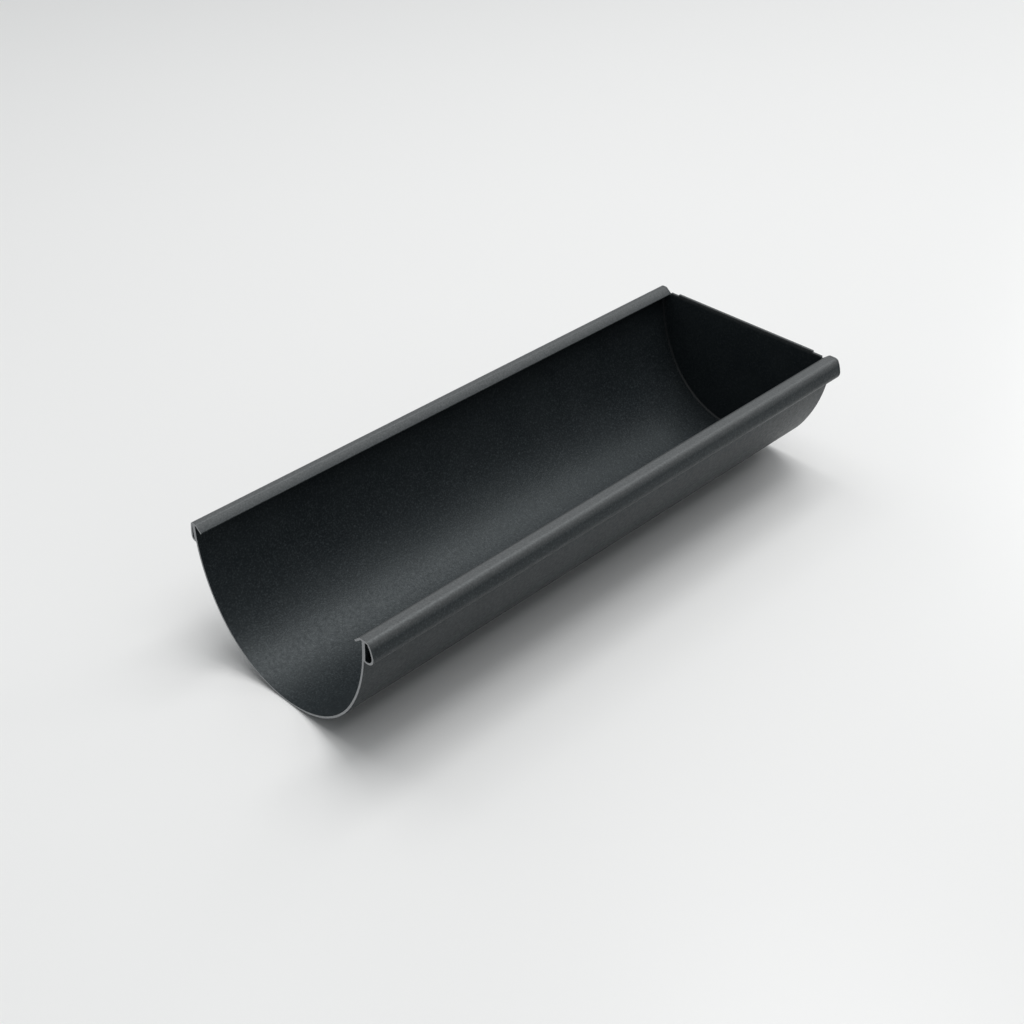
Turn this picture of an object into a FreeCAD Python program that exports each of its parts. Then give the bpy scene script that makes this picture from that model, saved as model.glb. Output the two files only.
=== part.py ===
"""Gutter section: a deep half-round trough with a beaded rim on both sides and a flat stop end.

Millimetres. +X runs along the gutter from its open end to its stop end, -Y is the front
rim with the larger bead, +Y is the back rim, +Z is up. The origin is under the middle of
the whole object, at the level of its lowest line.

Section sizes are measured outwards from the middle plane of the trough (written y) and
upwards from the lowest line of the trough (written z). Each outline is drawn once, on the
+Y side, and mirrored to the other side.
"""
import FreeCAD, Part
import math
import os
from collections import namedtuple
from FreeCAD import Vector

# ---- trough ---------------------------------------------------------------------------
LENGTH = 350.0          # cut length, open end to stop end
WALL = 1.2              # wall of the profile, the same in trough, lips and beads
INSIDE_WIDTH = 122.6    # between the walls at the rim
INSIDE_DEPTH = 72.0     # inside bottom to the spring line, where the walls stand upright
SIDE_RADIUS = 86.0      # inside radius of the arc up each side

# ---- rims -----------------------------------------------------------------------------
RIM_RISE = 2.4          # flat top of a rim above the spring line
LIP_FLAT = 1.1          # flat top inside the wall, before the lip turns down
LIP_LENGTH = 5.2        # sloping part of the lip
LIP_SLOPE = 39.0        # degrees below level
LIP_BEND = 1.6          # outside radius where the lip turns down
TIP_ROUND = 0.35        # rounding of the lip's free edge

BEAD_LEG = 0.8          # leg of a bead that lies on the wall, beside its hollow

# A bead is a hollow teardrop outside the wall. top_reach and reach are measured from the
# outside of the wall: at its top corner, and at its widest point. drop runs from the flat
# top of the rim to the underside of the bead.
Bead = namedtuple("Bead", "top_reach reach drop base_radius side_radius corner_radius")
FRONT_BEAD = Bead(top_reach=3.2, reach=6.1, drop=13.0, base_radius=4.7, side_radius=20.0,
                  corner_radius=3.0)
BACK_BEAD = Bead(top_reach=1.8, reach=2.8, drop=11.2, base_radius=2.5, side_radius=40.0,
                 corner_radius=2.0)

# ---- stop end -------------------------------------------------------------------------
STOP_THICKNESS = 1.5    # flat plate butted against the end of the trough
STOP_INSET = 0.3        # edge of the plate inside the outer face of the trough
STOP_TOP_GAP = 1.0      # top edge of the plate below the flat top of the rims
STOP_TOP_WIDTH = 99.0   # raised middle of the top edge
SHOULDER_DROP = 1.1     # step from the raised middle down to the shoulders
SHOULDER_GAP = 0.5      # shoulder end to the lip's free edge
NOTCH_DEPTH = 1.2       # notch between shoulder and lip, below the shoulder
SEAL_LEG = 0.8          # leg of the bead of sealant in the inner corner

# ---- worked out -----------------------------------------------------------------------
HALF_WIDTH = INSIDE_WIDTH / 2
SPRING_Z = WALL + INSIDE_DEPTH
RIM_TOP = SPRING_Z + RIM_RISE
SIDE_CENTRE_Y = HALF_WIDTH - SIDE_RADIUS
# The base arc runs smoothly into both side arcs at the inside bottom of the trough.
BASE_RADIUS = ((HALF_WIDTH ** 2 + INSIDE_DEPTH ** 2 - 2 * HALF_WIDTH * SIDE_RADIUS)
               / (2 * (INSIDE_DEPTH - SIDE_RADIUS)))
BASE_CENTRE_Z = WALL + BASE_RADIUS
STOP_X = LENGTH         # inner face of the stop end
PAST_END = 1.0          # how far a cutting tool runs past what it cuts


def at(y, z, x=0.0):
    return Vector(x, y, z)


def face_of(edges):
    """Flat face inside a closed loop of edges."""
    return Part.Face(Part.Wire(edges))


def mirrored(shape):
    """The same shape on the -Y side."""
    return shape.mirror(Vector(0, 0, 0), Vector(0, 1, 0))


def prism(face, x_start, length):
    """Solid of one section, drawn at x = 0, between two places along the gutter."""
    solid = face.extrude(Vector(length, 0, 0))
    solid.translate(Vector(x_start, 0, 0))
    return solid


# ---- outlines -------------------------------------------------------------------------
def trough_outline(offset, top_z, x=0.0):
    """Closed outline of the trough, offset outwards from its inner surface.

    Three arcs that flow into each other, one for the base and one for each side, then
    upright walls from the spring line to top_z and a level line across.
    """
    base_r = BASE_RADIUS + offset
    side_r = SIDE_RADIUS + offset
    to_base = math.atan2(BASE_CENTRE_Z - SPRING_Z, -SIDE_CENTRE_Y)

    def on_side(angle):
        return SIDE_CENTRE_Y + side_r * math.cos(angle), SPRING_Z + side_r * math.sin(angle)

    join, middle, spring = on_side(to_base), on_side(to_base / 2), on_side(0)

    def left(point):
        return at(-point[0], point[1], x)

    def right(point):
        return at(point[0], point[1], x)

    base = Part.Arc(right(join), at(0, BASE_CENTRE_Z - base_r, x), left(join)).toShape()
    right_side = Part.Arc(right(spring), right(middle), right(join)).toShape()
    left_side = Part.Arc(left(join), left(middle), left(spring)).toShape()
    right_top, left_top = right((spring[0], top_z)), left((spring[0], top_z))
    walls = [Part.makeLine(left(spring), left_top),
             Part.makeLine(left_top, right_top),
             Part.makeLine(right_top, right(spring))]
    return Part.Wire([right_side, base, left_side] + walls)


def bead_face(bead, inset):
    """Teardrop outside the wall, shrunk by inset, closed along the middle of the wall."""
    wall_y = HALF_WIDTH + WALL / 2
    wall_out = HALF_WIDTH + WALL
    base_y = wall_out + bead.reach - bead.base_radius
    base_z = RIM_TOP - bead.drop + bead.base_radius
    corner_y = wall_out + bead.top_reach

    # Centre of the side arc: it passes through the top corner and runs smoothly into the
    # base arc, so its distance to both is known.
    to_corner = bead.side_radius
    to_base = bead.side_radius - bead.base_radius
    span_y, span_z = base_y - corner_y, base_z - RIM_TOP
    span = math.hypot(span_y, span_z)
    along = (to_corner ** 2 - to_base ** 2 + span ** 2) / (2 * span)
    across = math.sqrt(to_corner ** 2 - along ** 2)
    side_y = corner_y + (along * span_y + across * span_z) / span
    side_z = RIM_TOP + (along * span_z - across * span_y) / span

    base_r = bead.base_radius - inset
    side_r = bead.side_radius - inset
    top_z = RIM_TOP - inset
    blend = math.atan2(base_z - side_z, base_y - side_y)
    top_angle = math.asin((top_z - side_z) / side_r)
    tail = math.atan2(-math.sqrt(base_r ** 2 - (wall_y - base_y) ** 2), wall_y - base_y)

    def on_side(angle):
        return at(side_y + side_r * math.cos(angle), side_z + side_r * math.sin(angle))

    def on_base(angle):
        return at(base_y + base_r * math.cos(angle), base_z + base_r * math.sin(angle))

    side = Part.Arc(on_side(top_angle), on_side((top_angle + blend) / 2), on_side(blend))
    base = Part.Arc(on_side(blend), on_base((blend + tail) / 2), on_base(tail))
    return face_of([Part.makeLine(at(wall_y, top_z), on_side(top_angle)),
                    side.toShape(), base.toShape(),
                    Part.makeLine(on_base(tail), at(wall_y, top_z))])


def lip_face():
    """Lip inside the wall: a short flat at the top of the rim, then a slope down."""
    slope = math.radians(LIP_SLOPE)
    down = Vector(0, -math.cos(slope), -math.sin(slope))
    inward = Vector(0, math.sin(slope), -math.cos(slope))
    wall_y = HALF_WIDTH + WALL / 2
    bend = at(HALF_WIDTH - LIP_FLAT, RIM_TOP)
    under_bend = bend + Vector(0, math.tan(slope / 2) * WALL, -WALL)
    tip = bend + down * LIP_LENGTH
    corners = [at(wall_y, RIM_TOP), bend, tip, tip + inward * WALL, under_bend,
               at(wall_y, RIM_TOP - WALL)]
    return Part.Face(Part.makePolygon(corners + corners[:1]))


def lip_tip_y():
    """How far out the free edge of the lip lies."""
    return HALF_WIDTH - LIP_FLAT - LIP_LENGTH * math.cos(math.radians(LIP_SLOPE))


def edges_at(solid, y, z, reach=0.05):
    """Edges that run the length of the gutter at one place of its section."""
    return [edge for edge in solid.Edges
            if all(abs(v.Y - y) < reach and abs(v.Z - z) < reach for v in edge.Vertexes)
            and abs(edge.Vertexes[0].X - edge.Vertexes[-1].X) > reach]


def rim(bead, x_start, length):
    """All that a rim adds to the wall, with its bead filled and its corners rounded."""
    slope = math.radians(LIP_SLOPE)
    tip_z = RIM_TOP - LIP_LENGTH * math.sin(slope)
    rounded = [(HALF_WIDTH - LIP_FLAT, RIM_TOP, LIP_BEND),
               (lip_tip_y(), tip_z, TIP_ROUND),
               (lip_tip_y() + WALL * math.sin(slope), tip_z - WALL * math.cos(slope), TIP_ROUND),
               (HALF_WIDTH + WALL + bead.top_reach, RIM_TOP, bead.corner_radius)]
    solid = prism(bead_face(bead, 0).fuse(lip_face()), x_start, length).removeSplitter()
    for y, z, radius in rounded:
        solid = solid.makeFillet(radius, edges_at(solid, y, z))
    return solid


def both_rims(x_start, length):
    """The back rim on the +Y side and the front rim on the -Y side."""
    return [rim(BACK_BEAD, x_start, length), mirrored(rim(FRONT_BEAD, x_start, length))]


# ---- pieces ---------------------------------------------------------------------------
def gutter_trough():
    """The profile: trough, two lips and two hollow beads, one piece along its length."""
    wall = Part.Face(trough_outline(WALL, RIM_TOP - WALL))
    inside = Part.Face(trough_outline(0, RIM_TOP + PAST_END))
    outside = Part.Face(trough_outline(WALL + BEAD_LEG, RIM_TOP))
    solid = prism(wall.cut(inside), 0, LENGTH).fuse(both_rims(0, LENGTH))
    hollows = [bead_face(BACK_BEAD, WALL).cut(outside),
               mirrored(bead_face(FRONT_BEAD, WALL)).cut(outside)]
    for hollow in hollows:
        solid = solid.cut(prism(hollow, -PAST_END, LENGTH + 2 * PAST_END))
    return solid.removeSplitter()


def stop_end():
    """Flat plate that closes the whole profile, with a stepped top edge."""
    top = RIM_TOP - STOP_TOP_GAP
    shoulder = top - SHOULDER_DROP
    notch = shoulder - NOTCH_DEPTH
    top_y = STOP_TOP_WIDTH / 2
    shoulder_y = lip_tip_y() - SHOULDER_GAP
    above = RIM_TOP + PAST_END
    half_step = [(top_y, top), (top_y, shoulder), (shoulder_y, shoulder),
                 (shoulder_y, notch), (HALF_WIDTH + WALL + PAST_END, notch),
                 (HALF_WIDTH + WALL + PAST_END, above)]
    step = [at(-y, z) for y, z in reversed(half_step)] + [at(y, z) for y, z in half_step]
    removed = Part.Face(Part.makePolygon(step + step[:1]))
    plate = Part.Face(trough_outline(WALL - STOP_INSET, RIM_TOP)).cut(removed)
    solid = prism(plate, STOP_X, STOP_THICKNESS).fuse(both_rims(STOP_X, STOP_THICKNESS))
    return solid.removeSplitter()


def seal_bead():
    """Bead of sealant in the corner between the trough and the stop end."""
    top = RIM_TOP - WALL
    corner = Part.Face(trough_outline(0, top))
    ring = prism(corner, STOP_X - SEAL_LEG, SEAL_LEG)
    opening = Part.makeLoft([trough_outline(0, top + PAST_END, STOP_X - SEAL_LEG),
                             trough_outline(-SEAL_LEG, top + PAST_END, STOP_X)], True, True)
    return ring.cut(opening)


def solid_of(shape):
    """The single solid of a shape, so that each file holds exactly one."""
    if len(shape.Solids) != 1:
        raise ValueError(f"expected one solid, found {len(shape.Solids)}")
    return shape.Solids[0]


def main():
    pieces = {"gutter_trough": gutter_trough(), "stop_end": stop_end(),
              "seal_bead": seal_bead()}
    whole = Part.makeCompound(list(pieces.values())).BoundBox
    to_origin = Vector(-whole.Center.x, -whole.Center.y, -whole.ZMin)
    os.makedirs("parts", exist_ok=True)
    for name, shape in pieces.items():
        solid = solid_of(shape)
        solid.translate(to_origin)
        solid.exportStep(f"parts/{name}.step")
        box = solid.BoundBox
        print(f"{name}: {solid.Volume / 1000:.2f} cm3, valid {solid.isValid()}, "
              f"x {box.XMin:.2f}..{box.XMax:.2f}, y {box.YMin:.2f}..{box.YMax:.2f}, "
              f"z {box.ZMin:.2f}..{box.ZMax:.2f}")


main()
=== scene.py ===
"""Looks of the gutter section: matt anthracite powder coat, bare sawn end, pale studio floor.

Metres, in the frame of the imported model: the gutter lies on its round bottom, +X runs from
the open sawn end to the stop end, -Y is the front rim, +Z is up.
"""
import bmesh
import bpy
import math
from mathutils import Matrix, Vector


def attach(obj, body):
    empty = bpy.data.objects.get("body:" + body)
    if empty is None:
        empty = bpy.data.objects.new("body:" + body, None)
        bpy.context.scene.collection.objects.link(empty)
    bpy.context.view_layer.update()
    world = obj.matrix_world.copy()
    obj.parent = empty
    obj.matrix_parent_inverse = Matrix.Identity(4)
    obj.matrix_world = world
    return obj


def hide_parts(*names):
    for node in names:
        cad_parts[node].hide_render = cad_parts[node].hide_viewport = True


# ---- camera ---------------------------------------------------------------------------
CAMERA_AIM = Vector((0.0152, 0.0365, 0.0))
CAMERA_DISTANCE = 0.8929
CAMERA_AZIMUTH = -45.35      # degrees, 0 looks along +Y
CAMERA_ELEVATION = 35.17     # degrees above the floor
CAMERA_LENS = 55.0           # mm
SENSOR_WIDTH = 36.0          # mm
CLIP_START, CLIP_END = 0.01, 100.0

# ---- mesh finish ----------------------------------------------------------------------
WELD = 1e-6                  # points closer than this are one
FLAT_ANGLE = math.radians(0.3)       # faces that meet flatter than this are one
SHARP_ANGLE = math.radians(32)       # edges sharper than this are rounded
ARRIS_SEGMENTS = 2
SAWN_ARRIS = 0.00012         # rounding of sawn and pressed edges
PLATE_ARRIS = 0.0003         # stays under the narrowest gap in the plate's top edge
SAWN_NORMAL_X = -0.99        # faces that look more steeply to -X are the sawn end

# ---- coat, linear colours; noise scales are per metre ---------------------------------
TROUGH_DARK, TROUGH_LIGHT = (0.0075, 0.0105, 0.0125), (0.0115, 0.015, 0.017)
# the end plate has the trough's paint, painted lighter: painted light that makes up for the
# shade on the plate
PLATE_LIT_DARK, PLATE_LIT_LIGHT = (0.013, 0.0175, 0.0205), (0.018, 0.023, 0.026)
SPECK = (0.043, 0.051, 0.055)        # the lightest grains
# painted highlight: paler grey, broken up by grain, that stands in for the light falling on
# the rim tops
RIM_HIGHLIGHT_DARK, RIM_HIGHLIGHT_LIGHT = (0.038, 0.041, 0.042), (0.150, 0.154, 0.156)
RIM_LOW, RIM_HIGH = 0.0716, 0.0748   # heights where the painted highlight on the rims starts and is full
CLOUD_SCALE = 38.0
GRAIN_SCALE = 1100.0
PEBBLE_SCALE = 520.0
GRAIN_DEPTH = 0.00012
PEBBLE_DEPTH = 0.00014

# ---- floor and light ------------------------------------------------------------------
FLOOR_SIZE = 30.0
FILL_STRENGTH = 0.28         # light from all around
FILL_COLOUR = (0.94, 0.98, 1.0, 1.0)
LIGHT_SIZE = 1.2
LIGHT_DISTANCE = 2.2
# Name, degrees round the gutter (0 is the front side, 90 the stop end), degrees up, watts.
SOFT_LIGHTS = [("overhead", 90, 70, 21),
               ("back", 180, 45, 3),
               ("back_high", 180, 70, 7),
               ("front_high", 0, 70, 10),
               ("stop_end_side", 90, 20, 10)]

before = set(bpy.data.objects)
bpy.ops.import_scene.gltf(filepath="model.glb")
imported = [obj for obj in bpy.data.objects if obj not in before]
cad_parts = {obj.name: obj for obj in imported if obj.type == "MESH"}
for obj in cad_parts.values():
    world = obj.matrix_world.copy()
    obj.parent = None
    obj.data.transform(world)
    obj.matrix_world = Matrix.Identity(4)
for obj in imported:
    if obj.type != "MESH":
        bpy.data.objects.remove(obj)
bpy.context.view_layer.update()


# ---- node helpers ---------------------------------------------------------------------
class Nodes:
    """A material's node tree, with its Principled shader and short ways to add to it."""

    def __init__(self, name):
        self.material = bpy.data.materials.new(name)
        self.material.use_nodes = True
        self.tree = self.material.node_tree
        self.shader = self.tree.nodes["Principled BSDF"]
        self.place = self.add("ShaderNodeTexCoord").outputs["Object"]

    def add(self, kind, **settings):
        node = self.tree.nodes.new(kind)
        for key, value in settings.items():
            setattr(node, key, value)
        return node

    def link(self, source, target):
        self.tree.links.new(source, target)

    def noise(self, scale, detail=2.0, roughness=0.5, place=None):
        node = self.add("ShaderNodeTexNoise")
        node.inputs["Scale"].default_value = scale
        node.inputs["Detail"].default_value = detail
        node.inputs["Roughness"].default_value = roughness
        self.link(place or self.place, node.inputs["Vector"])
        return node.outputs["Fac"]

    def stretched(self, x, y, z):
        """Object coordinates scaled along each axis."""
        node = self.add("ShaderNodeVectorMath", operation="MULTIPLY")
        node.inputs[1].default_value = (x, y, z)
        self.link(self.place, node.inputs[0])
        return node.outputs[0]

    def above(self, low, high):
        """0 below one height over the floor, 1 above another, and a ramp between."""
        parts = self.add("ShaderNodeSeparateXYZ")
        self.link(self.place, parts.inputs[0])
        return self.remap(parts.outputs["Z"], low, high)

    def remap(self, value, low, high, to_low=0.0, to_high=1.0):
        node = self.add("ShaderNodeMapRange")
        node.inputs["From Min"].default_value = low
        node.inputs["From Max"].default_value = high
        node.inputs["To Min"].default_value = to_low
        node.inputs["To Max"].default_value = to_high
        self.link(value, node.inputs["Value"])
        return node.outputs["Result"]

    def mix(self, share, first, second):
        """Colour between two colours, each a tuple or a socket."""
        node = self.add("ShaderNodeMix", data_type="RGBA")
        self.link(share, node.inputs["Factor"])
        for socket, colour in ((node.inputs[6], first), (node.inputs[7], second)):
            if isinstance(colour, tuple):
                socket.default_value = (*colour, 1.0)
            else:
                self.link(colour, socket)
        return node.outputs[2]

    def bump(self, height, distance, strength=1.0, under=None):
        node = self.add("ShaderNodeBump")
        node.inputs["Distance"].default_value = distance
        node.inputs["Strength"].default_value = strength
        self.link(height, node.inputs["Height"])
        if under is not None:
            self.link(under, node.inputs["Normal"])
        return node.outputs["Normal"]

    def set(self, **values):
        for key, value in values.items():
            self.shader.inputs[key.replace("_", " ")].default_value = value

    def drive(self, **sockets):
        for key, socket in sockets.items():
            self.link(socket, self.shader.inputs[key.replace("_", " ")])


# ---- materials ------------------------------------------------------------------------
def powder_coat(name, dark, light):
    """Matt powder coat with a fine pebbled skin, cloudy tint and a painted highlight on the
    rim tops.
    """
    m = Nodes(name)
    clouds = m.remap(m.noise(CLOUD_SCALE, 3.0), 0.35, 0.65)
    grain = m.noise(GRAIN_SCALE, 2.0, 0.6)
    pebbles = m.noise(PEBBLE_SCALE, 2.0, 0.5)
    paint = m.mix(m.remap(grain, 0.48, 0.80), m.mix(clouds, dark, light), SPECK)
    # painted highlight on the rim tops, with grain in it
    rim_highlight = m.mix(grain, RIM_HIGHLIGHT_DARK, RIM_HIGHLIGHT_LIGHT)
    pebbled = m.bump(pebbles, PEBBLE_DEPTH, 0.55)
    m.drive(Base_Color=m.mix(m.above(RIM_LOW, RIM_HIGH), paint, rim_highlight),
            Roughness=m.remap(pebbles, 0.3, 0.7, 0.40, 0.52),
            Normal=m.bump(grain, GRAIN_DEPTH, 0.7, pebbled))
    m.set(Specular_IOR_Level=0.37, Specular_Tint=(0.90, 0.98, 1.0, 1.0))
    return m.material


def sawn_metal():
    """Bare aluminium with fine upright saw marks."""
    m = Nodes("sawn_metal")
    marks = m.noise(1.0, 3.0, 0.6, m.stretched(300.0, 5200.0, 500.0))
    m.drive(Base_Color=m.mix(marks, (0.20, 0.208, 0.215), (0.40, 0.41, 0.42)),
            Roughness=m.remap(marks, 0.3, 0.7, 0.38, 0.6),
            Normal=m.bump(marks, 0.00004, 0.6))
    m.set(Metallic=0.85)
    return m.material


def sealant():
    """Dark satin sealant, tooled by hand."""
    m = Nodes("sealant_grey")
    strokes = m.noise(420.0, 2.0)
    m.drive(Base_Color=m.mix(strokes, (0.009, 0.011, 0.013), (0.016, 0.018, 0.020)),
            Roughness=m.remap(strokes, 0.3, 0.7, 0.3, 0.5),
            Normal=m.bump(strokes, 0.0002, 0.4))
    return m.material


def floor_paint():
    """Pale studio floor with a faint sheen."""
    m = Nodes("floor_paint")
    patches = m.noise(1.4, 3.0)
    m.drive(Base_Color=m.mix(patches, (0.838, 0.836, 0.830), (0.850, 0.848, 0.842)))
    m.set(Roughness=0.28, Specular_IOR_Level=0.35)
    return m.material


# ---- pieces ---------------------------------------------------------------------------
def fine_copy(node, name, arris, materials):
    """A welded copy of a CAD solid with rounded arrises, which stands for that node."""
    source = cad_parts[node]
    mesh = source.data.copy()
    mesh.name = name
    shape = bmesh.new()
    shape.from_mesh(mesh)
    bmesh.ops.remove_doubles(shape, verts=shape.verts, dist=WELD)
    bmesh.ops.dissolve_limit(shape, angle_limit=FLAT_ANGLE, verts=shape.verts,
                             edges=shape.edges)
    for face in shape.faces:
        face.smooth = True
    shape.to_mesh(mesh)
    shape.free()
    if mesh.attributes.get("custom_normal"):
        mesh.attributes.remove(mesh.attributes["custom_normal"])
    mesh.set_sharp_from_angle(angle=SHARP_ANGLE)
    mesh.materials.clear()
    for material in materials:
        mesh.materials.append(material)
    piece = bpy.data.objects.new(name, mesh)
    bpy.context.scene.collection.objects.link(piece)
    bevel = piece.modifiers.new("arris", "BEVEL")
    bevel.width = arris
    bevel.segments = ARRIS_SEGMENTS
    bevel.limit_method = "ANGLE"
    bevel.angle_limit = SHARP_ANGLE
    bevel.use_clamp_overlap = False
    weighted = piece.modifiers.new("flat_faces", "WEIGHTED_NORMAL")
    weighted.keep_sharp = True
    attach(piece, "root")
    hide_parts(node)
    return piece


def sawn_faces(piece):
    """Gives the faces of the open end the second material."""
    for face in piece.data.polygons:
        face.material_index = 1 if face.normal.x < SAWN_NORMAL_X else 0


# ---- studio ---------------------------------------------------------------------------
def outwards(azimuth, elevation):
    """Unit vector from the gutter, from degrees round it and degrees over the floor."""
    turn, up = math.radians(azimuth), math.radians(elevation)
    return Vector((math.sin(turn) * math.cos(up), -math.cos(turn) * math.cos(up),
                   math.sin(up)))


def add_floor():
    bpy.ops.mesh.primitive_plane_add(size=FLOOR_SIZE, location=(0, 0, 0))
    floor = bpy.context.object
    floor.name = "floor"
    floor.data.materials.append(floor_paint())


def add_soft_light(name, azimuth, elevation, power):
    data = bpy.data.lights.new(name, "AREA")
    data.shape = "SQUARE"
    data.size = LIGHT_SIZE
    data.energy = power
    light = bpy.data.objects.new(name, data)
    out = outwards(azimuth, elevation)
    light.location = out * LIGHT_DISTANCE
    light.rotation_euler = (-out).to_track_quat("-Z", "Y").to_euler()
    bpy.context.scene.collection.objects.link(light)


def add_lights():
    """Soft lights, and a weak fill from all around."""
    world = bpy.data.worlds.new("studio")
    bpy.context.scene.world = world
    world.use_nodes = True
    fill = world.node_tree.nodes["Background"]
    fill.inputs["Color"].default_value = FILL_COLOUR
    fill.inputs["Strength"].default_value = FILL_STRENGTH
    for light in SOFT_LIGHTS:
        add_soft_light(*light)


def add_camera():
    back = outwards(CAMERA_AZIMUTH, CAMERA_ELEVATION)
    data = bpy.data.cameras.new("camera")
    data.sensor_width = SENSOR_WIDTH
    data.lens = CAMERA_LENS
    data.clip_start, data.clip_end = CLIP_START, CLIP_END
    camera = bpy.data.objects.new("camera", data)
    camera.location = CAMERA_AIM + back * CAMERA_DISTANCE
    camera.rotation_mode = "QUATERNION"
    camera.rotation_quaternion = (-back).to_track_quat("-Z", "Y")
    bpy.context.scene.collection.objects.link(camera)
    bpy.context.scene.camera = camera


# ---- the scene ------------------------------------------------------------------------
coat = powder_coat("coat", TROUGH_DARK, TROUGH_LIGHT)
# the same coat painted lighter for the end plate: painted light
plate_coat_lit = powder_coat("plate_coat_lit", PLATE_LIT_DARK, PLATE_LIT_LIGHT)
trough = fine_copy("gutter_trough", "trough", SAWN_ARRIS,
                   [coat, sawn_metal()])
sawn_faces(trough)
fine_copy("stop_end", "end_plate", PLATE_ARRIS, [plate_coat_lit])
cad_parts["seal_bead"].data.materials[0] = sealant()
add_floor()
add_lights()
add_camera()
bpy.context.scene.view_settings.view_transform = "Standard"
